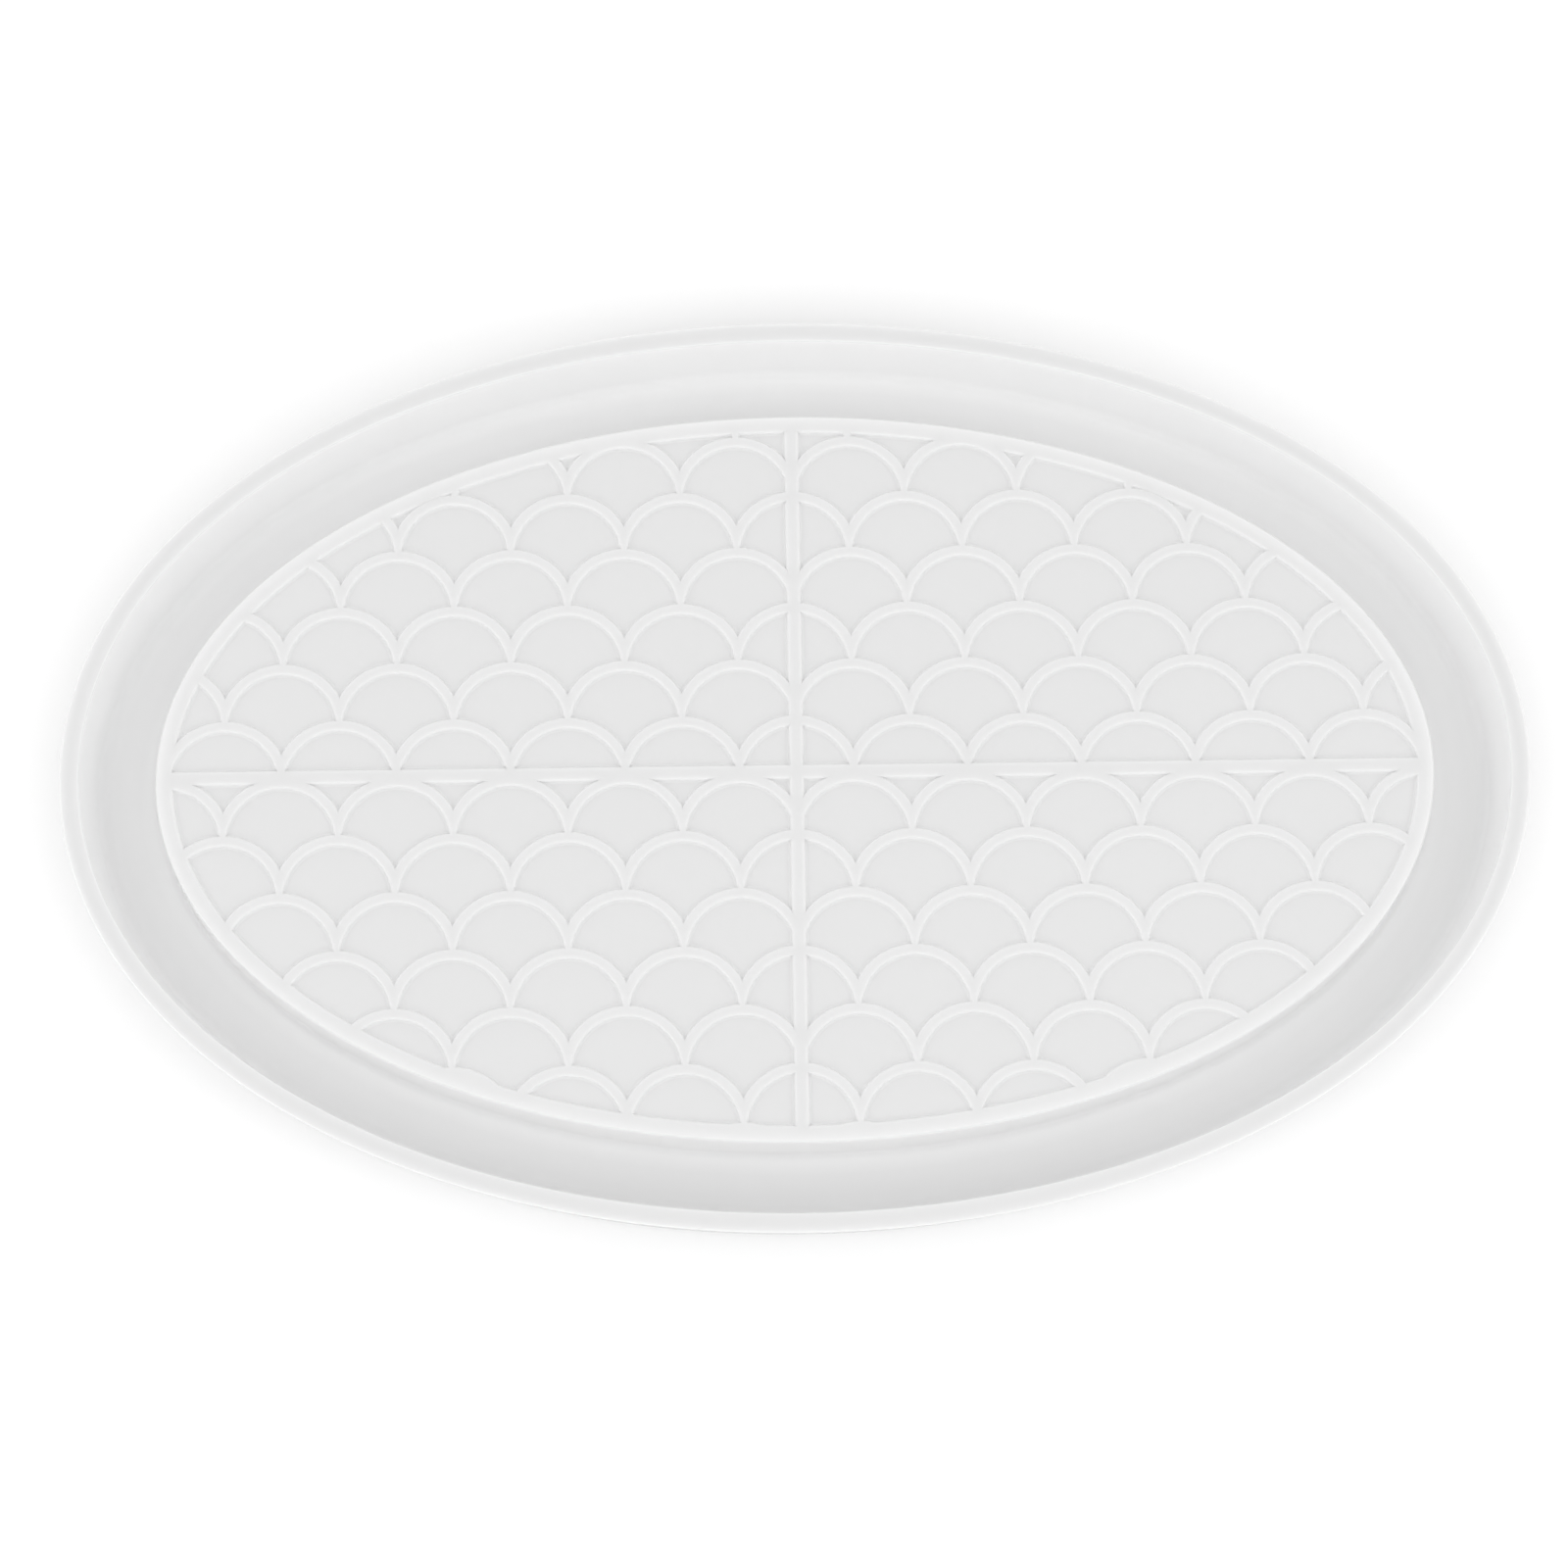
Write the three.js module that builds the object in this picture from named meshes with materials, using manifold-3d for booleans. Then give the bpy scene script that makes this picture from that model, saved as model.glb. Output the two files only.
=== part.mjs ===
// Oval silicone mould for casting a shallow resin tray.
//
// The mould is a thin-walled oval dish with a raised island in the middle. Resin in the deep channel
// round the island casts the tray's upright rim, and resin in the shallow pool above the island
// casts the tray's floor. The ribs on top of the island leave grooves in that floor: a border, a
// cross that parts it into four quarters, and rows of fish scales in each quarter.
//
// Units are millimetres. +X is along the oval, +Y is the way the scales point, +Z is up, and the
// origin is the centre of the underside.
//
// Every wall follows the edge of the island, which is an ellipse. A place across a wall is given as
// its offset, the distance outwards from that edge, and its height.

import * as THREE from "three";
import { mergeVertices } from "three/addons/utils/BufferGeometryUtils.js";
import Module from "manifold-3d";

// ---- driving dimensions ----

const ISLAND_HALF_LENGTH = 134.2;
const ISLAND_HALF_WIDTH = 77.9;

const RIM_INNER_OFFSET = 14.9;
const RIM_OUTER_OFFSET = 19;
const FOOT_OUTER_OFFSET = 17.4;
const RIM_EDGE_CHAMFER = 0.5;

const FLOOR_TOP = 3;
const DECK_UNDERSIDE = 13.3;
const DECK_TOP = 16.3;
const RIB_TOP = 17;
const RIM_TOP = 23;
const ISLAND_WALL_THICKNESS = 3.5;

// How far each face leans outwards or inwards over its whole height.
const ISLAND_DRAFT = 1;
const CHANNEL_DRAFT = 0.6;

// Fillets between the walls and the channel's floor.
const ISLAND_FILLET = 1.5;
const CHANNEL_FILLET = 2.5;
const FILLET_STEPS = 3;

const BORDER_WIDTH = 3.5;
const CROSS_RIB_WIDTH = 2.9;
const SCALE_PITCH = 24;
const SCALE_ROW_STEP = 12.26;
const SCALE_RADIUS = 12.45;
const SCALE_RIB_WIDTH = 2.24;
const CENTRE_ROW_Y = -1.37;
const LEAST_CELL_AREA = 3;

const OVAL_STEPS = 72;
const SCALE_TOP_STEPS = 8;
const SCALE_FLANK_STEPS = 3;

const SILICONE = { color: 0xe8e8e7, roughness: 0.45, metalness: 0 };

// ---- from geometry to solid and back ----

const wasm = await Module();
wasm.setup();

function solidFrom(geometry) {
  const bare = new THREE.BufferGeometry();
  bare.setAttribute("position", geometry.getAttribute("position").clone());
  if (geometry.index) bare.setIndex(geometry.index.clone());
  const merged = mergeVertices(bare, 1e-4);
  const mesh = new wasm.Mesh({
    numProp: 3,
    vertProperties: new Float32Array(merged.attributes.position.array),
    triVerts: new Uint32Array(merged.index.array),
  });
  return new wasm.Manifold(mesh);
}

function geometryFrom(solid) {
  const { vertProperties, triVerts } = solid.getMesh();
  const geometry = new THREE.BufferGeometry();
  geometry.setAttribute("position", new THREE.BufferAttribute(vertProperties, 3));
  geometry.setIndex(new THREE.BufferAttribute(triVerts, 1));
  return geometry;
}

// ---- oval sweeps ----

// The point of the island's edge at angle t, moved outwards by the offset.
function ovalPoint(t, offset) {
  const outwards = new THREE.Vector2(
    Math.cos(t) / ISLAND_HALF_LENGTH,
    Math.sin(t) / ISLAND_HALF_WIDTH,
  ).normalize();
  return new THREE.Vector2(
    ISLAND_HALF_LENGTH * Math.cos(t) + offset * outwards.x,
    ISLAND_HALF_WIDTH * Math.sin(t) + offset * outwards.y,
  );
}

function sweptPositions(profile) {
  const positions = [];
  for (let i = 0; i < OVAL_STEPS; i++) {
    const t = (2 * Math.PI * i) / OVAL_STEPS;
    for (const [offset, z] of profile) {
      const { x, y } = ovalPoint(t, offset);
      positions.push(x, y, z);
    }
  }
  return positions;
}

function meshGeometry(positions, indices) {
  const geometry = new THREE.BufferGeometry();
  geometry.setAttribute("position", new THREE.Float32BufferAttribute(positions, 3));
  geometry.setIndex(indices);
  return geometry;
}

// Two triangles between neighbouring profile points, at one step of the sweep and the next.
function sweptQuad(count, i, from, to) {
  const here = i * count;
  const next = ((i + 1) % OVAL_STEPS) * count;
  return [here + from, next + from, next + to, here + from, next + to, here + to];
}

// A ring whose section is a closed profile of [offset, height], anticlockwise with +Z up.
function ovalRing(profile) {
  const count = profile.length;
  const indices = [];
  for (let i = 0; i < OVAL_STEPS; i++) {
    for (let j = 0; j < count; j++) indices.push(...sweptQuad(count, i, j, (j + 1) % count));
  }
  return meshGeometry(sweptPositions(profile), indices);
}

// A plate whose edge runs through each [offset, height], from its underside to its top.
function ovalPlate(edge) {
  const count = edge.length;
  const positions = sweptPositions(edge);
  const bottomCentre = OVAL_STEPS * count;
  const topCentre = bottomCentre + 1;
  positions.push(0, 0, edge[0][1], 0, 0, edge[count - 1][1]);
  const indices = [];
  for (let i = 0; i < OVAL_STEPS; i++) {
    const here = i * count;
    const next = ((i + 1) % OVAL_STEPS) * count;
    for (let j = 0; j < count - 1; j++) indices.push(...sweptQuad(count, i, j, j + 1));
    indices.push(bottomCentre, next, here);
    indices.push(topCentre, here + count - 1, next + count - 1);
  }
  return meshGeometry(positions, indices);
}

// ---- the faces of the walls ----

// The island's outer face leans outwards towards its foot.
function islandFace(z) {
  return (ISLAND_DRAFT * (RIB_TOP - z)) / (RIB_TOP - FLOOR_TOP);
}

function hollowFace(z) {
  return islandFace(z) - ISLAND_WALL_THICKNESS;
}

// The channel's outer face leans inwards towards the floor, so that the cast tray comes out.
function channelFace(z) {
  return RIM_INNER_OFFSET - (CHANNEL_DRAFT * (RIM_TOP - z)) / (RIM_TOP - FLOOR_TOP);
}

function outsideFace(z) {
  return THREE.MathUtils.mapLinear(z, 0, RIM_TOP, FOOT_OUTER_OFFSET, RIM_OUTER_OFFSET);
}

// A quarter circle of [offset, height] that blends a wall into the channel's floor.
function filletProfile(wallOffset, radius, side) {
  const points = [];
  for (let i = 0; i <= FILLET_STEPS; i++) {
    const angle = (Math.PI / 2) * (i / FILLET_STEPS);
    const across = wallOffset + side * radius * (1 - Math.sin(angle));
    points.push([across, FLOOR_TOP + radius * (1 - Math.cos(angle))]);
  }
  return points;
}

// ---- the dish ----

// The foot of the mould and the bottom of the deep channel.
function channelFloor() {
  return ovalRing([
    [hollowFace(0), 0],
    [outsideFace(0), 0],
    [outsideFace(FLOOR_TOP), FLOOR_TOP],
    [hollowFace(FLOOR_TOP), FLOOR_TOP],
  ]);
}

// The upright wall round the outside, with a flat rim on top.
function outerWall() {
  const toe = channelFace(FLOOR_TOP + CHANNEL_FILLET);
  return ovalRing([
    ...filletProfile(toe, CHANNEL_FILLET, -1).slice(0, 1),
    [outsideFace(FLOOR_TOP), FLOOR_TOP],
    [outsideFace(RIM_TOP - RIM_EDGE_CHAMFER), RIM_TOP - RIM_EDGE_CHAMFER],
    [RIM_OUTER_OFFSET - RIM_EDGE_CHAMFER, RIM_TOP],
    [RIM_INNER_OFFSET + RIM_EDGE_CHAMFER, RIM_TOP],
    [channelFace(RIM_TOP - RIM_EDGE_CHAMFER), RIM_TOP - RIM_EDGE_CHAMFER],
    ...filletProfile(toe, CHANNEL_FILLET, -1).slice(1).reverse(),
  ]);
}

// The upright wall under the edge of the island.
function islandWall() {
  const toe = islandFace(FLOOR_TOP + ISLAND_FILLET);
  return ovalRing([
    [hollowFace(FLOOR_TOP), FLOOR_TOP],
    ...filletProfile(toe, ISLAND_FILLET, 1),
    [islandFace(DECK_UNDERSIDE), DECK_UNDERSIDE],
    [hollowFace(DECK_UNDERSIDE), DECK_UNDERSIDE],
  ]);
}

// The flat sheet that closes the top of the island.
function islandDeck() {
  return ovalPlate([
    [islandFace(DECK_UNDERSIDE), DECK_UNDERSIDE],
    [islandFace(DECK_TOP), DECK_TOP],
  ]);
}

// ---- the relief on the island ----

function arcPoints(centre, radius, from, to, steps) {
  const points = [];
  for (let i = 0; i < steps; i++) {
    const angle = THREE.MathUtils.lerp(from, to, i / steps);
    points.push(
      new THREE.Vector2(
        centre.x + radius * Math.cos(angle),
        centre.y + radius * Math.sin(angle),
      ),
    );
  }
  return points;
}

// The hollow inside one scale: a disc cut away below by the two scales of the next row, whose ribs
// meet in a cusp under the middle of this one.
function scaleCell() {
  const inside = SCALE_RADIUS - SCALE_RIB_WIDTH / 2;
  const outside = SCALE_RADIUS + SCALE_RIB_WIDTH / 2;
  const lowerRight = new THREE.Vector2(SCALE_PITCH / 2, -SCALE_ROW_STEP);
  const lowerLeft = new THREE.Vector2(-SCALE_PITCH / 2, -SCALE_ROW_STEP);

  // Where this scale's hollow meets the rib of the lower right one, and the two lower ribs meet.
  const apart = lowerRight.length();
  const along = (apart ** 2 + inside ** 2 - outside ** 2) / (2 * apart);
  const corner = lowerRight.angle() + Math.acos(along / inside);
  const right = new THREE.Vector2(inside * Math.cos(corner), inside * Math.sin(corner));
  const left = new THREE.Vector2(-right.x, right.y);
  const cuspAngle = Math.acos(-lowerRight.x / outside);
  const leftAngle = left.clone().sub(lowerLeft).angle();

  const top = arcPoints(
    new THREE.Vector2(),
    inside,
    right.angle() - (right.y < 0 ? 2 * Math.PI : 0),
    left.angle(),
    SCALE_TOP_STEPS,
  );
  const leftFlank = arcPoints(
    lowerLeft,
    outside,
    leftAngle,
    Math.PI - cuspAngle,
    SCALE_FLANK_STEPS,
  );
  const rightFlank = arcPoints(
    lowerRight,
    outside,
    cuspAngle,
    Math.PI - leftAngle,
    SCALE_FLANK_STEPS,
  );
  return new THREE.Shape([...top, ...leftFlank, ...rightFlank]);
}

// The hollow cells of all the rows, as one solid that reaches above and below the relief.
function cellField() {
  const depth = 3 * (RIB_TOP - DECK_TOP);
  const cell = new THREE.ExtrudeGeometry(scaleCell(), { depth, bevelEnabled: false });
  const rows = Math.ceil(ISLAND_HALF_WIDTH / SCALE_ROW_STEP);
  const columns = Math.ceil(ISLAND_HALF_LENGTH / SCALE_PITCH);
  const cells = [];
  for (let row = -rows - 1; row <= rows; row++) {
    const shift = row % 2 ? SCALE_PITCH / 2 : 0;
    for (let column = -columns - 1; column <= columns; column++) {
      const placed = cell.clone();
      placed.translate(
        column * SCALE_PITCH + shift,
        CENTRE_ROW_Y - row * SCALE_ROW_STEP,
        DECK_TOP - (RIB_TOP - DECK_TOP),
      );
      cells.push(solidFrom(placed));
    }
  }
  return wasm.Manifold.compose(cells);
}

function boxSolid(width, length, height, x, y, z) {
  const box = new THREE.BoxGeometry(width, length, height);
  box.translate(x, y, z);
  return solidFrom(box);
}

// The border, the cross and the ribs between the cells, cut as one sheet.
function reliefSheet() {
  const height = RIB_TOP - DECK_TOP;
  const middle = (RIB_TOP + DECK_TOP) / 2;
  const sheet = solidFrom(
    ovalPlate([
      [islandFace(DECK_TOP), DECK_TOP],
      [islandFace(RIB_TOP), RIB_TOP],
    ]),
  );
  const insideBorder = solidFrom(
    ovalPlate([
      [-BORDER_WIDTH, DECK_TOP - height],
      [-BORDER_WIDTH, RIB_TOP + height],
    ]),
  );
  const along = boxSolid(2 * ISLAND_HALF_LENGTH, CROSS_RIB_WIDTH, 4 * height, 0, 0, middle);
  const across = boxSolid(CROSS_RIB_WIDTH, 2 * ISLAND_HALF_WIDTH, 4 * height, 0, 0, middle);
  const cells = cellField().intersect(insideBorder).subtract(along).subtract(across);
  const least = LEAST_CELL_AREA * 3 * height;
  const kept = cells.decompose().filter((cell) => cell.volume() > least);
  return sheet.subtract(wasm.Manifold.compose(kept));
}

// One quarter of the sheet, on the side of the cross that sideX and sideY name.
function reliefQuarter(sheet, sideX, sideY) {
  const quarter = boxSolid(
    2 * ISLAND_HALF_LENGTH,
    2 * ISLAND_HALF_WIDTH,
    2 * RIM_TOP,
    sideX * ISLAND_HALF_LENGTH,
    sideY * ISLAND_HALF_WIDTH,
    RIM_TOP,
  );
  return geometryFrom(sheet.intersect(quarter));
}

// ---- the mould ----

function part(name, geometry) {
  geometry.computeVertexNormals();
  const mesh = new THREE.Mesh(geometry, new THREE.MeshStandardMaterial(SILICONE));
  mesh.name = name;
  return mesh;
}

const mould = new THREE.Group();
mould.add(part("channel_floor", channelFloor()));
mould.add(part("outer_wall", outerWall()));
mould.add(part("island_wall", islandWall()));
mould.add(part("island_deck", islandDeck()));

const sheet = reliefSheet();
for (const [end, sideY] of [["back", 1], ["front", -1]]) {
  for (const [side, sideX] of [["left", -1], ["right", 1]]) {
    mould.add(part(`scale_relief_${end}_${side}`, reliefQuarter(sheet, sideX, sideY)));
  }
}

export default mould;
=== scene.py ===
"""Looks of the oval silicone tray mould: one continuous, milky, translucent silicone skin.

The real mould is one moulding, so one skin stands for all the CAD regions. A ring-shaped wall
profile is swept round the oval from the underside of the island, over the rim and through the
channel, up to the island's edge. The sheet of border, cross and fish-scale ribs closes the top.

Lengths here are in millimetres, as in the CAD source, until the mesh is made in metres.
"""

import math

import bpy
import numpy as np
from mathutils import Matrix, Vector
from mathutils.geometry import delaunay_2d_cdt


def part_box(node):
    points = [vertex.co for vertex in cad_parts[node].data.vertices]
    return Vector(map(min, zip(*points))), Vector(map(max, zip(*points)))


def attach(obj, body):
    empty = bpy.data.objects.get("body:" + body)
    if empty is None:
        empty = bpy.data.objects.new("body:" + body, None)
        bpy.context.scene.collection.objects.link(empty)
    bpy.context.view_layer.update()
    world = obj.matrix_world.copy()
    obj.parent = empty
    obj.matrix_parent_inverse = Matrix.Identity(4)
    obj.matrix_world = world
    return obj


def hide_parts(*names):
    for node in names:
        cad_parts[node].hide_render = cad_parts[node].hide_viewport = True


MM = 0.001

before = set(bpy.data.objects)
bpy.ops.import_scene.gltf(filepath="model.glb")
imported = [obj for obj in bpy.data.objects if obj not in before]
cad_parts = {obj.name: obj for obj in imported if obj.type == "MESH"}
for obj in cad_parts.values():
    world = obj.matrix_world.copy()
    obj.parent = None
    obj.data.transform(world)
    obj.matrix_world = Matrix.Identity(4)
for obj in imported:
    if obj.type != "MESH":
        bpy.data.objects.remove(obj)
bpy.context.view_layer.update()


def box_mm(node):
    """Lowest and highest corner of a CAD node in millimetres."""
    low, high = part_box(node)
    return low / MM, high / MM


# ---- sizes read from the frame ----

DECK_LOW, DECK_HIGH = box_mm("island_deck")
RELIEF_HIGH = box_mm("scale_relief_back_right")[1]

FLOOR_TOP = box_mm("channel_floor")[1].z
DECK_UNDERSIDE = DECK_LOW.z
DECK_TOP = DECK_HIGH.z
RIB_TOP = RELIEF_HIGH.z
RIM_TOP = box_mm("outer_wall")[1].z

# ---- sizes that the boxes of the nodes don't hold ----

ISLAND_DRAFT = 1.0
CHANNEL_DRAFT = 0.6
ISLAND_WALL_THICKNESS = 3.5
RIM_WIDTH = 4.1
RIM_OUTER_OFFSET = 19.0
FOOT_INSET = 1.6
UNDERSIDE_REACH = 8.0

# Radii of the swept wall's roundings and fillets.
HOLLOW_FILLET = 1.5
FOOT_ROUND = 0.7
RIM_OUTER_ROUND = 0.3
RIM_INNER_ROUND = 0.4
CHANNEL_FILLET = 2.8
ISLAND_FILLET = 1.6
BORDER_ROUND = 0.45

BORDER_WIDTH = 3.5
CROSS_HALF_WIDTH = 1.45
SCALE_PITCH = 24.0
SCALE_ROW_STEP = 12.26
SCALE_RADIUS = 12.45
SCALE_RIB_WIDTH = 2.24
CENTRE_ROW_Y = -1.37
LEAST_CELL_AREA = 3.0

# The edge of the relief leans out by a trace at the foot of the border, which isn't counted here.
DRAFT_UNDER_RELIEF = ISLAND_DRAFT * (RIB_TOP - DECK_TOP) / (RIB_TOP - FLOOR_TOP)
HALF_LENGTH = RELIEF_HIGH.x - DRAFT_UNDER_RELIEF
HALF_WIDTH = RELIEF_HIGH.y - DRAFT_UNDER_RELIEF
RIM_INNER_OFFSET = RIM_OUTER_OFFSET - RIM_WIDTH

# How white the silicone is, with painted light and shade per region. Painted light stands in for
# light from behind that whitens thin walls and the feet of walls; the outside of the wall gets
# painted shade.
SHEET_WHITE = 0.745
RIB_WHITE = 0.748
# Painted light at the feet of the ribs, lifting the shade there.
RIB_FOOT_PAINTED_LIGHT = 0.80
# Painted light on the border band and the island's edge.
BORDER_PAINTED_LIGHT = 0.78
RIM_WHITE = 0.735
# Painted shade on the outside of the wall.
OUTSIDE_PAINTED_SHADE = 0.58
# Painted light on the channel floor, on the channel side of the walls and at the feet of the walls.
FLOOR_PAINTED_LIGHT = 0.828
OUTER_FACE_PAINTED_LIGHT = 0.91
ISLAND_FACE_PAINTED_LIGHT = 0.97
FOOT_PAINTED_LIGHT = 0.90
EDGE_FADE = 0.4
FOOT_FADE = 4.5

# How finely the lines are parted, and how exact the search for a place on the oval or an edge is.
OVAL_STEPS = 400
ROUND_STEPS = 5
PROFILE_STEP = 1.6
TOP_ARC_STEPS = 26
FLANK_ARC_STEPS = 11
BORDER_POINT_GAP = 1.2
LEAST_POINT_GAP = 0.02
OVAL_SEARCH_STEPS = 8
EDGE_SEARCH_STEPS = 40
LEVEL_SLACK = 0.01
MESH_SLACK = 1e-5
TINY = 1e-9

# The wall of a rib: distance into the cell from the rib's nominal face, height on the rib as a
# share of its full height, and tone, with painted light on the lower part of the wall. The top edge
# is rounded and a fillet runs along the foot.
RIB_WALL = (
    (-0.40, 1.0, RIB_WHITE),
    (-0.28, 0.985, RIB_WHITE),
    (-0.17, 0.91, RIB_WHITE),
    (-0.08, 0.76, RIB_FOOT_PAINTED_LIGHT),
    (0.09, 0.26, RIB_FOOT_PAINTED_LIGHT),
    (0.20, 0.10, RIB_FOOT_PAINTED_LIGHT),
    (0.36, 0.02, RIB_FOOT_PAINTED_LIGHT),
    (0.65, 0.0, SHEET_WHITE),
)


# ---- the oval and its offsets ----


def oval_point(cosine, sine, offset):
    """A point of the island's edge, moved outwards by the offset."""
    normal = Vector((cosine / HALF_LENGTH, sine / HALF_WIDTH)).normalized()
    return Vector((HALF_LENGTH * cosine, HALF_WIDTH * sine)) + offset * normal


def oval_place(x, y):
    """Cosine and sine of the oval's angle nearest a point, and the point's offset."""
    px, py = abs(x), abs(y)
    cosine = sine = math.sqrt(0.5)
    for _ in range(OVAL_SEARCH_STEPS):
        ex = (HALF_LENGTH**2 - HALF_WIDTH**2) * cosine**3 / HALF_LENGTH
        ey = (HALF_WIDTH**2 - HALF_LENGTH**2) * sine**3 / HALF_WIDTH
        reach = math.hypot(HALF_LENGTH * cosine - ex, HALF_WIDTH * sine - ey)
        away = max(math.hypot(px - ex, py - ey), TINY)
        cosine = min(max(((px - ex) * reach / away + ex) / HALF_LENGTH, 0.0), 1.0)
        sine = min(max(((py - ey) * reach / away + ey) / HALF_WIDTH, 0.0), 1.0)
        length = math.hypot(cosine, sine)
        cosine, sine = cosine / length, sine / length
    offset = math.hypot(px - HALF_LENGTH * cosine, py - HALF_WIDTH * sine)
    inside = (px / HALF_LENGTH) ** 2 + (py / HALF_WIDTH) ** 2 < 1
    return math.copysign(cosine, x), math.copysign(sine, y), -offset if inside else offset


# ---- the swept wall ----


def rounded(corners):
    """A line of (offset, height) through the corners, each turned with its own radius."""
    line = [Vector(corners[0][:2])]
    for before, corner, after in zip(corners, corners[1:], corners[2:]):
        here = Vector(corner[:2])
        to_before = (Vector(before[:2]) - here).normalized()
        to_after = (Vector(after[:2]) - here).normalized()
        half = to_before.angle(to_after) / 2
        middle = here + (to_before + to_after).normalized() * corner[2] / math.sin(half)
        start = here + to_before * corner[2] / math.tan(half)
        sweep = math.pi - 2 * half
        turn = math.copysign(1, to_before.x * to_after.y - to_before.y * to_after.x)
        for i in range(ROUND_STEPS + 1):
            spin = Matrix.Rotation(-turn * sweep * i / ROUND_STEPS, 2)
            line.append(middle + spin @ (start - middle))
    line.append(Vector(corners[-1][:2]))
    return line


def subdivided(line, step):
    """The same line with points no further apart than about the step."""
    fine = [line[0]]
    for start, end in zip(line, line[1:]):
        pieces = max(1, round((end - start).length / step))
        fine += [start.lerp(end, i / pieces) for i in range(1, pieces + 1)]
    return fine


def wall_profile():
    """The section of the mould from the underside of the island, round the rim, to its top."""
    lean = ISLAND_DRAFT / (RIB_TOP - FLOOR_TOP)
    hollow_top = lean * (RIB_TOP - DECK_UNDERSIDE) - ISLAND_WALL_THICKNESS
    hollow_foot = lean * RIB_TOP - ISLAND_WALL_THICKNESS
    line = rounded(
        [
            (hollow_top - UNDERSIDE_REACH, DECK_UNDERSIDE, 0),
            (hollow_top, DECK_UNDERSIDE, HOLLOW_FILLET),
            (hollow_foot, 0, FOOT_ROUND),
            (RIM_OUTER_OFFSET - FOOT_INSET, 0, FOOT_ROUND),
            (RIM_OUTER_OFFSET, RIM_TOP, RIM_OUTER_ROUND),
            (RIM_INNER_OFFSET, RIM_TOP, RIM_INNER_ROUND),
            (RIM_INNER_OFFSET - CHANNEL_DRAFT, FLOOR_TOP, CHANNEL_FILLET),
            (ISLAND_DRAFT, FLOOR_TOP, ISLAND_FILLET),
            (0, RIB_TOP, BORDER_ROUND),
            (-2 * BORDER_ROUND, RIB_TOP, 0),
        ]
    )
    return subdivided(line, PROFILE_STEP)


# ---- the relief ----


def arc(centre, radius, start, end, steps):
    """Points along an arc, without its last one."""
    angles = [start + (end - start) * i / steps for i in range(steps)]
    return [centre + radius * Vector((math.cos(a), math.sin(a))) for a in angles]


def scale_loop(centre, inset):
    """The outline of a scale's hollow, shrunk by the inset: a disc that two scales cut into."""
    inside = SCALE_RADIUS - SCALE_RIB_WIDTH / 2 - inset
    outside = SCALE_RADIUS + SCALE_RIB_WIDTH / 2 + inset
    lower_right = Vector((SCALE_PITCH / 2, -SCALE_ROW_STEP))
    lower_left = Vector((-SCALE_PITCH / 2, -SCALE_ROW_STEP))
    apart = lower_right.length
    along = (apart**2 + inside**2 - outside**2) / (2 * apart)
    corner = math.atan2(lower_right.y, lower_right.x) + math.acos(along / inside)
    right = Vector((inside * math.cos(corner), inside * math.sin(corner)))
    flank = math.atan2(right.y - lower_right.y, right.x - lower_right.x)
    cusp = math.acos(-lower_right.x / outside)
    points = arc(Vector((0, 0)), inside, corner, math.pi - corner, TOP_ARC_STEPS)
    points += arc(lower_left, outside, math.pi - flank, math.pi - cusp, FLANK_ARC_STEPS)
    points += arc(lower_right, outside, cusp, flank, FLANK_ARC_STEPS)
    return [centre + p for p in points]


def crossing(inner, outer, distance):
    """The point between two others where the distance turns from negative to positive."""
    for _ in range(EDGE_SEARCH_STEPS):
        middle = (inner + outer) / 2
        if distance(middle) < 0:
            inner = middle
        else:
            outer = middle
    return (inner + outer) / 2


def clipped(loop, distance):
    """The part of a loop where the distance is negative."""
    kept = []
    for before, here in zip([loop[-1]] + loop[:-1], loop):
        inside, was_inside = distance(here) < 0, distance(before) < 0
        if inside and not was_inside:
            kept.append(crossing(here, before, distance))
        if was_inside and not inside:
            kept.append(crossing(before, here, distance))
        if inside:
            kept.append(here)
    return kept


def along_border(start, end, offset):
    """Points of the oval's offset between two of its points, the short way round."""
    here = oval_place(start.x, start.y)
    there = oval_place(end.x, end.y)
    angle = math.atan2(here[1], here[0])
    turn = math.atan2(there[1], there[0]) - angle
    turn = (turn + math.pi) % (2 * math.pi) - math.pi
    steps = max(1, round((end - start).length / BORDER_POINT_GAP))
    angles = [angle + turn * i / steps for i in range(1, steps)]
    return [oval_point(math.cos(a), math.sin(a), offset) for a in angles]


def oval_angle(point):
    """Angle of the oval's point nearest to a point."""
    cosine, sine, _ = oval_place(point.x, point.y)
    return math.atan2(sine, cosine)


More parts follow.
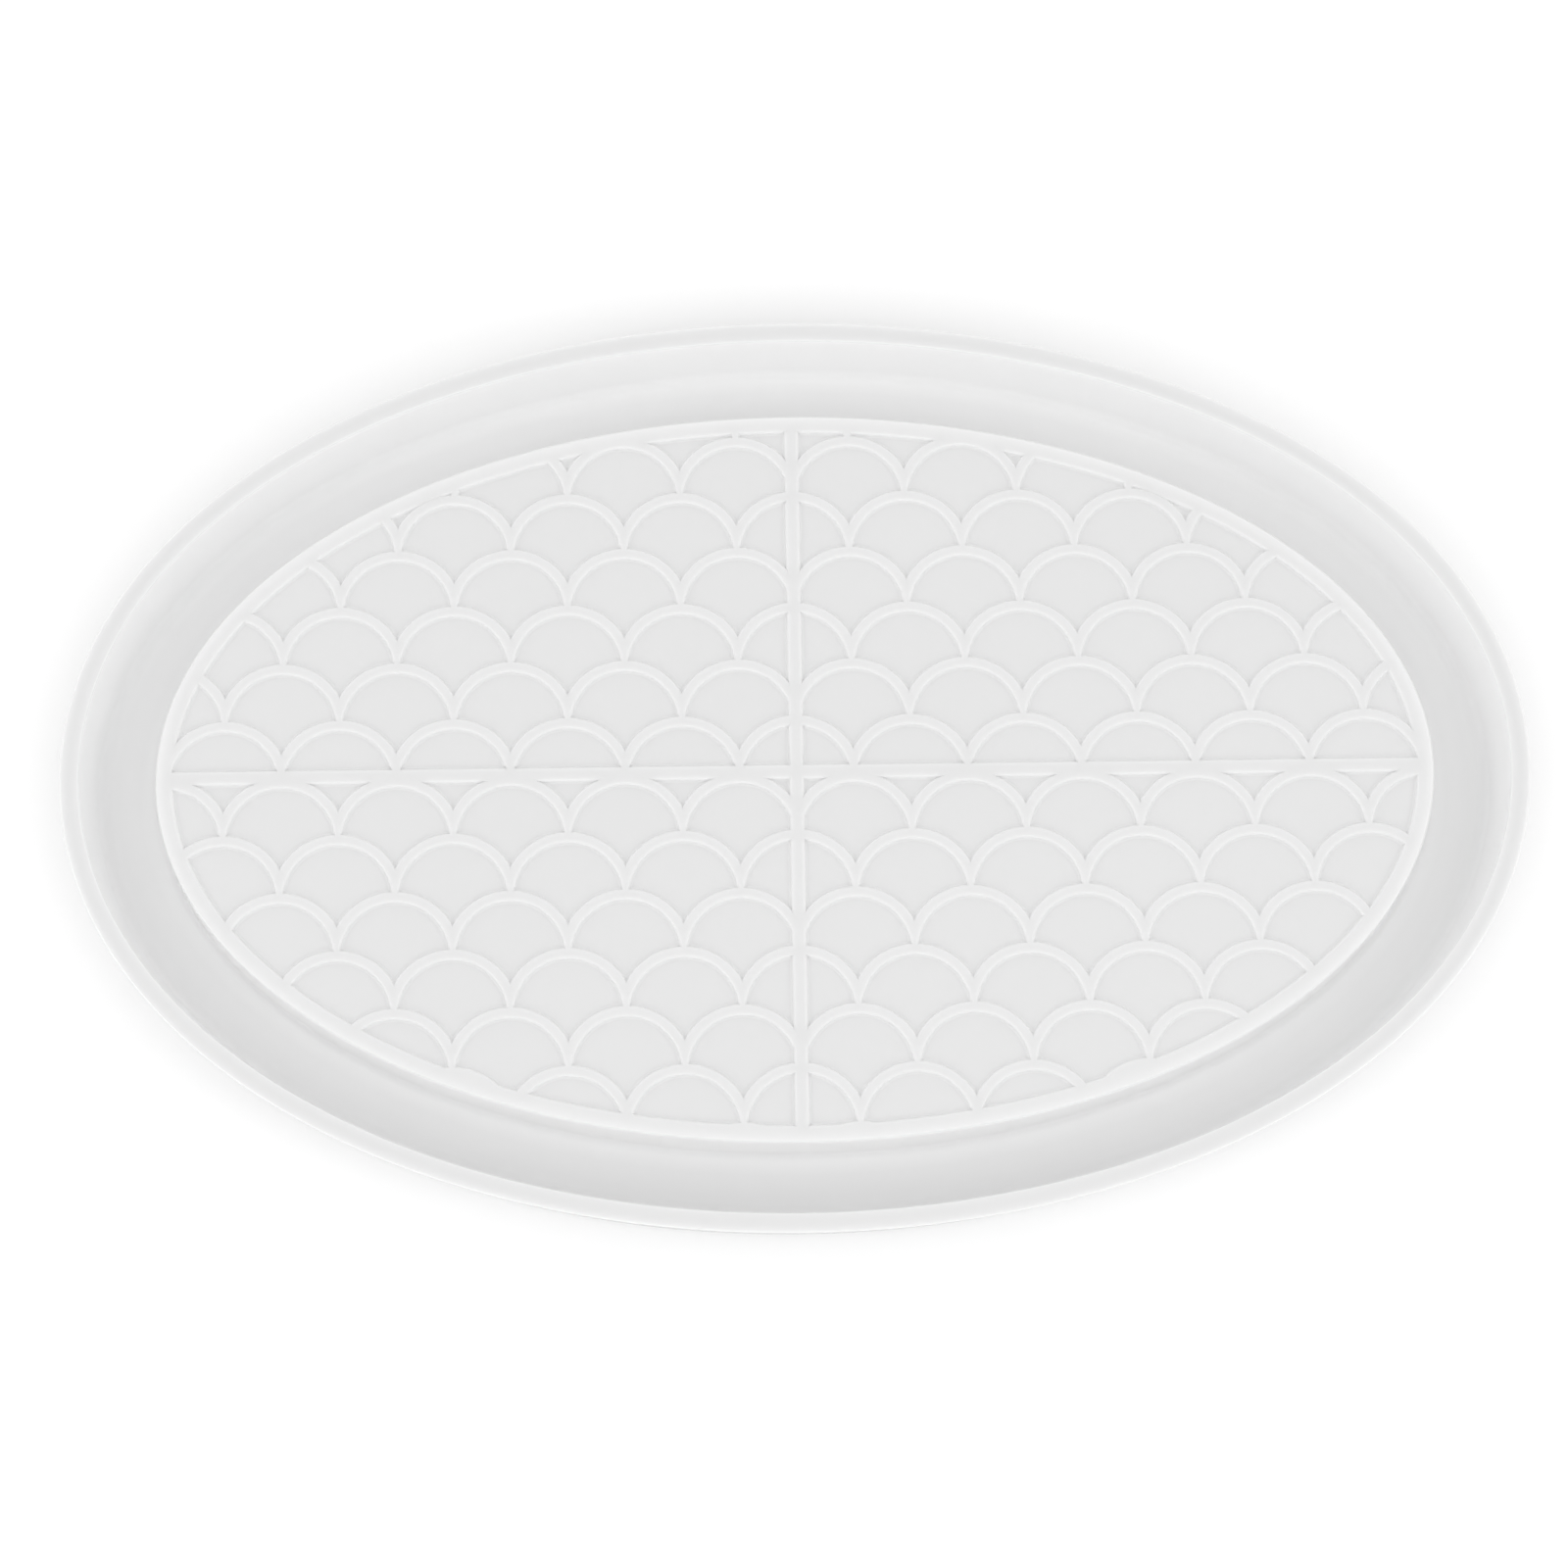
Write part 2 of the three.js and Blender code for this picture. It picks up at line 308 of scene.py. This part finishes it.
def inside_border(loop, border):
    """The parts of a hollow that lie inside the border, each closed along the border's edge."""

    def past_edge(point):
        return oval_place(point.x, point.y)[2] + border

    inside = [past_edge(p) < 0 for p in loop]
    if all(inside):
        return [loop]
    if not any(inside):
        return []
    stretches = []
    first = next(i for i in range(len(loop)) if inside[i] and not inside[i - 1])
    for k in range(len(loop) + 1):
        i = (first + k) % len(loop)
        if not inside[i - 1] and inside[i] and k < len(loop):
            stretches.append([crossing(loop[i], loop[i - 1], past_edge)])
        if inside[i - 1] and not inside[i]:
            stretches[-1].append(crossing(loop[i - 1], loop[i], past_edge))
        elif inside[i] and k < len(loop):
            stretches[-1].append(loop[i])

    # From where a stretch leaves, the edge leads anticlockwise to where the next one enters.
    parts = []
    waiting = list(range(len(stretches)))
    while waiting:
        start = waiting.pop(0)
        part = list(stretches[start])
        following = None
        while following != start:
            leaving = oval_angle(part[-1])
            following = min(
                [start] + waiting,
                key=lambda n: (oval_angle(stretches[n][0]) - leaving) % (2 * math.pi),
            )
            part += along_border(part[-1], stretches[following][0], -border)
            if following != start:
                part += stretches[following]
                waiting.remove(following)
        parts.append(part)
    return parts


def cell_loops(centre, side_x, side_y, inset):
    """The outlines of what one quarter of the island holds of a scale's hollow."""
    cross = CROSS_HALF_WIDTH + inset
    loop = scale_loop(centre, inset)
    loop = clipped(loop, lambda p: cross - side_x * p.x)
    loop = clipped(loop, lambda p: cross - side_y * p.y) if loop else loop
    return inside_border(loop, BORDER_WIDTH + inset) if loop else []


def loop_area(loop):
    """Area inside a loop that runs anticlockwise."""
    return 0.5 * sum(a.x * b.y - b.x * a.y for a, b in zip(loop, loop[1:] + loop[:1]))


def tidy_loop(loop):
    """The loop without points that lie on top of their neighbour."""
    return [p for i, p in enumerate(loop) if (p - loop[i - 1]).length > LEAST_POINT_GAP]


def relief_loops():
    """Every wall line of every cell, as (height, tone with painted light, loop)."""
    found = []
    rows = math.ceil(HALF_WIDTH / SCALE_ROW_STEP) + 1
    columns = math.ceil(HALF_LENGTH / SCALE_PITCH) + 1
    for row in range(-rows, rows + 1):
        shift = SCALE_PITCH / 2 if row % 2 else 0
        for column in range(-columns, columns + 1):
            centre = Vector((column * SCALE_PITCH + shift, CENTRE_ROW_Y - row * SCALE_ROW_STEP))
            for side_x in (-1, 1):
                for side_y in (-1, 1):
                    nominal = cell_loops(centre, side_x, side_y, 0)
                    if sum(loop_area(loop) for loop in nominal) < LEAST_CELL_AREA:
                        continue
                    for inset, share, white in RIB_WALL:
                        height = DECK_TOP + share * (RIB_TOP - DECK_TOP)
                        for part in cell_loops(centre, side_x, side_y, inset):
                            loop = tidy_loop(part)
                            if len(loop) > 2:
                                found.append((height, white, loop))
    return found


# ---- the skin ----


def swept_tone_and_painted_light(offset, height):
    """Tone of the swept wall, with its painted light and shade, at an offset from the island's edge
    and a height.
    """
    if offset >= RIM_INNER_OFFSET:
        return RIM_WHITE if height > RIM_TOP - EDGE_FADE else OUTSIDE_PAINTED_SHADE
    outer = offset > RIM_INNER_OFFSET / 2
    if height > RIB_TOP - LEVEL_SLACK and not outer:
        return BORDER_PAINTED_LIGHT
    if offset < 0 or height < FLOOR_TOP - LEVEL_SLACK:
        return SHEET_WHITE
    # Painted light at the feet of the channel walls, fading up the walls and across the floor.
    foot = RIM_INNER_OFFSET - CHANNEL_DRAFT if outer else ISLAND_DRAFT
    edge, edge_tone_and_light = (RIM_TOP, RIM_WHITE) if outer else (RIB_TOP, BORDER_PAINTED_LIGHT)
    face_painted_light = OUTER_FACE_PAINTED_LIGHT if outer else ISLAND_FACE_PAINTED_LIGHT
    inwards = min(abs(offset - foot) / FOOT_FADE, 1.0)
    upwards = min((height - FLOOR_TOP) / FOOT_FADE, 1.0)
    if upwards > inwards:
        channel = FOOT_PAINTED_LIGHT + (face_painted_light - FOOT_PAINTED_LIGHT) * upwards
    else:
        channel = FOOT_PAINTED_LIGHT + (FLOOR_PAINTED_LIGHT - FOOT_PAINTED_LIGHT) * inwards
    below_edge = min(max((edge - height) / EDGE_FADE, 0.0), 1.0)
    return edge_tone_and_light + (channel - edge_tone_and_light) * below_edge


def ring_of_walls():
    """Vertices, tone with painted light and shade, and faces of the swept wall, and the number of
    points in one section.
    """
    profile = wall_profile()
    count = len(profile)
    vertices = []
    for i in range(OVAL_STEPS):
        angle = 2 * math.pi * i / OVAL_STEPS
        for offset, height in profile:
            point = oval_point(math.cos(angle), math.sin(angle), offset)
            vertices.append((point.x, point.y, height))
    white = [swept_tone_and_painted_light(offset, height) for offset, height in profile] * OVAL_STEPS
    faces = []
    for i in range(OVAL_STEPS):
        here = i * count
        after = ((i + 1) % OVAL_STEPS) * count
        for j in range(count - 1):
            faces.append((here + j, after + j, after + j + 1, here + j + 1))
    faces.append([i * count for i in reversed(range(OVAL_STEPS))])
    return vertices, white, faces, count


def skin_mesh():
    """Vertices in millimetres, tone with painted light and shade, and faces of the whole watertight
    skin.
    """
    vertices, white, faces, count = ring_of_walls()
    flat = [Vector(vertices[i * count + count - 1][:2]) for i in range(OVAL_STEPS)]
    looks = [(RIB_TOP, RIB_WHITE)] * OVAL_STEPS
    edges = [(i, (i + 1) % OVAL_STEPS) for i in range(OVAL_STEPS)]
    for height, loop_white, loop in relief_loops():
        base = len(flat)
        flat += loop
        looks += [(height, loop_white)] * len(loop)
        edges += [(base + i, base + (i + 1) % len(loop)) for i in range(len(loop))]
    sheet = delaunay_2d_cdt(flat, edges, [], 1, MESH_SLACK, True)
    made, lines, triangles, sources, line_sources, _ = sheet

    # Where two wall lines cross there is a new point, which is as low as the lower of the two.
    crossed = {}
    for line, from_edges in zip(lines, line_sources):
        lowest = min((looks[edges[k][0]] for k in from_edges if k < len(edges)), default=None)
        for end in line:
            if lowest and not sources[end]:
                crossed[end] = min(crossed.get(end, lowest), lowest)

    index = []
    for k, (point, source) in enumerate(zip(made, sources)):
        if source and source[0] < OVAL_STEPS:
            index.append(source[0] * count + count - 1)
            continue
        height, point_white = looks[source[0]] if source else crossed[k]
        index.append(len(vertices))
        vertices.append((point.x, point.y, height))
        white.append(point_white)
    faces += [[index[k] for k in triangle] for triangle in triangles]
    return vertices, white, faces


def area_weighted_normals(mesh):
    """Vertex normals in which a large flat face outweighs the narrow roundings beside it."""
    total = np.zeros((len(mesh.vertices), 3))
    for polygon in mesh.polygons:
        pull = np.array(polygon.normal) * polygon.area
        for v in polygon.vertices:
            total[v] += pull
    lengths = np.linalg.norm(total, axis=1, keepdims=True)
    return total / np.maximum(lengths, 1e-20)


def silicone_skin():
    """The object of the whole mould, with its tone and painted light and shade on its vertices."""
    vertices, white, faces = skin_mesh()
    mesh = bpy.data.meshes.new("silicone_skin")
    mesh.from_pydata([Vector(v) * MM for v in vertices], [], faces)
    mesh.validate()
    mesh.shade_smooth()
    mesh.attributes.new("tone_and_painted_light", "FLOAT", "POINT").data.foreach_set("value", white)
    mesh.normals_split_custom_set_from_vertices(area_weighted_normals(mesh).tolist())
    skin = bpy.data.objects.new("silicone_skin", mesh)
    bpy.context.scene.collection.objects.link(skin)
    return skin


# ---- the material ----

# Lengths are in metres, and noise scales in cycles per metre.
SCATTER_LENGTH = 0.002
SILICONE_IOR = 1.41
CLOUD_SCALE = 18
CLOUD_DETAIL = 3
CLOUD_WHITENESS = (0.985, 1.0)
HAZE_SCALE = 60
HAZE_DETAIL = 4
ROUGHNESS = (0.29, 0.37)
GRAIN_SCALE = 900
GRAIN_DETAIL = 2
GRAIN_STRENGTH = 0.05
GRAIN_DEPTH = 0.0001


def noise(tree, place, scale, detail):
    """Soft noise fixed to the object, from 0 to 1."""
    node = tree.nodes.new("ShaderNodeTexNoise")
    node.inputs["Scale"].default_value = scale
    node.inputs["Detail"].default_value = detail
    tree.links.new(place.outputs["Object"], node.inputs["Vector"])
    return node.outputs["Fac"]


def spread(tree, value, ends):
    """A value from 0 to 1 laid between two ends."""
    node = tree.nodes.new("ShaderNodeMapRange")
    node.inputs["To Min"].default_value, node.inputs["To Max"].default_value = ends
    tree.links.new(value, node.inputs["Value"])
    return node.outputs["Result"]


def silicone_material():
    """Milky platinum silicone: light scatters inside it, and its moulded face is satin."""
    material = bpy.data.materials.new("milky_silicone")
    material.use_nodes = True
    tree = material.node_tree
    shader = tree.nodes["Principled BSDF"]
    shader.inputs["Subsurface Weight"].default_value = 1.0
    shader.inputs["Subsurface Radius"].default_value = (1.0, 1.0, 1.0)
    shader.inputs["Subsurface Scale"].default_value = SCATTER_LENGTH
    shader.inputs["IOR"].default_value = SILICONE_IOR
    place = tree.nodes.new("ShaderNodeTexCoord")

    # Base colour is the vertex tone, which holds painted light and shade, times a faint cloud.
    white = tree.nodes.new("ShaderNodeAttribute")
    white.attribute_name = "tone_and_painted_light"
    cloud = spread(tree, noise(tree, place, CLOUD_SCALE, CLOUD_DETAIL), CLOUD_WHITENESS)
    tint = tree.nodes.new("ShaderNodeVectorMath")
    tint.operation = "SCALE"
    tree.links.new(white.outputs["Color"], tint.inputs["Vector"])
    tree.links.new(cloud, tint.inputs["Scale"])
    tree.links.new(tint.outputs["Vector"], shader.inputs["Base Color"])

    satin = spread(tree, noise(tree, place, HAZE_SCALE, HAZE_DETAIL), ROUGHNESS)
    tree.links.new(satin, shader.inputs["Roughness"])

    bump = tree.nodes.new("ShaderNodeBump")
    bump.inputs["Strength"].default_value = GRAIN_STRENGTH
    bump.inputs["Distance"].default_value = GRAIN_DEPTH
    grain = noise(tree, place, GRAIN_SCALE, GRAIN_DETAIL)
    tree.links.new(grain, bump.inputs["Height"])
    tree.links.new(bump.outputs["Normal"], shader.inputs["Normal"])
    return material


# ---- the studio ----

# Places and sizes in metres.
SKY_STRENGTH = 0.90
TOP_WATTS = 16
TOP_PLACE = (0, -0.9, 2.5)
TOP_SIZE = (3.0, 2.2)
SIDE_WATTS = 1.8
SIDE_PLACE = (1.25, -0.55, 0.85)
SIDE_SIZE = (0.4, 0.8)
FLOOR_REACH = 6.0
FLOOR_COLOUR = (0.98, 0.98, 0.98, 1)
FLOOR_ROUGHNESS = 0.9
FLOOR_GLOSS = 0.1

# The camera's turns are in degrees from looking straight down.
LENS_MM = 78.75
SENSOR_MM = 36
CAMERA_TILT = 12.08
CAMERA_SWING = -0.97
CAMERA_ROLL = -0.69
CAMERA_AIM_MM = (-2.7, -2.7, RIB_TOP)
CAMERA_DISTANCE = 0.7193
CAMERA_CLIP_END = 20


def studio_floor():
    """A wide, pale, matt floor that the mould stands on."""
    mesh = bpy.data.meshes.new("studio_floor")
    turns = ((-1, -1), (1, -1), (1, 1), (-1, 1))
    corners = [(FLOOR_REACH * x, FLOOR_REACH * y, 0) for x, y in turns]
    mesh.from_pydata(corners, [], [(0, 1, 2, 3)])
    floor = bpy.data.objects.new("studio_floor", mesh)
    bpy.context.scene.collection.objects.link(floor)
    material = bpy.data.materials.new("pale_floor")
    material.use_nodes = True
    shader = material.node_tree.nodes["Principled BSDF"]
    shader.inputs["Base Color"].default_value = FLOOR_COLOUR
    shader.inputs["Roughness"].default_value = FLOOR_ROUGHNESS
    shader.inputs["Specular IOR Level"].default_value = FLOOR_GLOSS
    mesh.materials.append(material)


def soft_light(name, place, size, watts):
    """A rectangular softbox that faces the middle of the mould's foot."""
    lamp = bpy.data.lights.new(name, "AREA")
    lamp.shape = "RECTANGLE"
    lamp.size, lamp.size_y = size
    lamp.energy = watts
    light = bpy.data.objects.new(name, lamp)
    light.location = place
    light.rotation_euler = (-Vector(place)).to_track_quat("-Z", "Y").to_euler()
    bpy.context.scene.collection.objects.link(light)


def studio_light():
    """An even white sky, one large softbox overhead and a weak one on each side."""
    world = bpy.data.worlds.new("studio")
    world.use_nodes = True
    sky = world.node_tree.nodes["Background"]
    sky.inputs["Color"].default_value = (1, 1, 1, 1)
    sky.inputs["Strength"].default_value = SKY_STRENGTH
    bpy.context.scene.world = world
    for name, side in (("left_softbox", -1), ("right_softbox", 1)):
        place = (side * SIDE_PLACE[0], *SIDE_PLACE[1:])
        soft_light(name, place, SIDE_SIZE, SIDE_WATTS)
    soft_light("top_softbox", TOP_PLACE, TOP_SIZE, TOP_WATTS)
    bpy.context.scene.view_settings.view_transform = "Standard"


def camera():
    """Looks down from a little in front of the mould, through a lens of moderate length."""
    lens = bpy.data.cameras.new("camera")
    lens.lens = LENS_MM
    lens.sensor_width = SENSOR_MM
    lens.clip_end = CAMERA_CLIP_END
    eye = bpy.data.objects.new("camera", lens)
    tilt = Matrix.Rotation(math.radians(CAMERA_TILT), 4, "X")
    swing = Matrix.Rotation(math.radians(CAMERA_SWING), 4, "Y")
    roll = Matrix.Rotation(math.radians(CAMERA_ROLL), 4, "Z")
    turned = tilt @ swing @ roll
    back = turned.to_3x3() @ Vector((0, 0, 1))
    aim = Vector(CAMERA_AIM_MM) * MM
    eye.matrix_world = Matrix.Translation(aim + back * CAMERA_DISTANCE) @ turned
    bpy.context.scene.collection.objects.link(eye)
    bpy.context.scene.camera = eye


skin = silicone_skin()
skin.data.materials.append(silicone_material())
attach(skin, "root")
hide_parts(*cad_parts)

studio_floor()
studio_light()
camera()
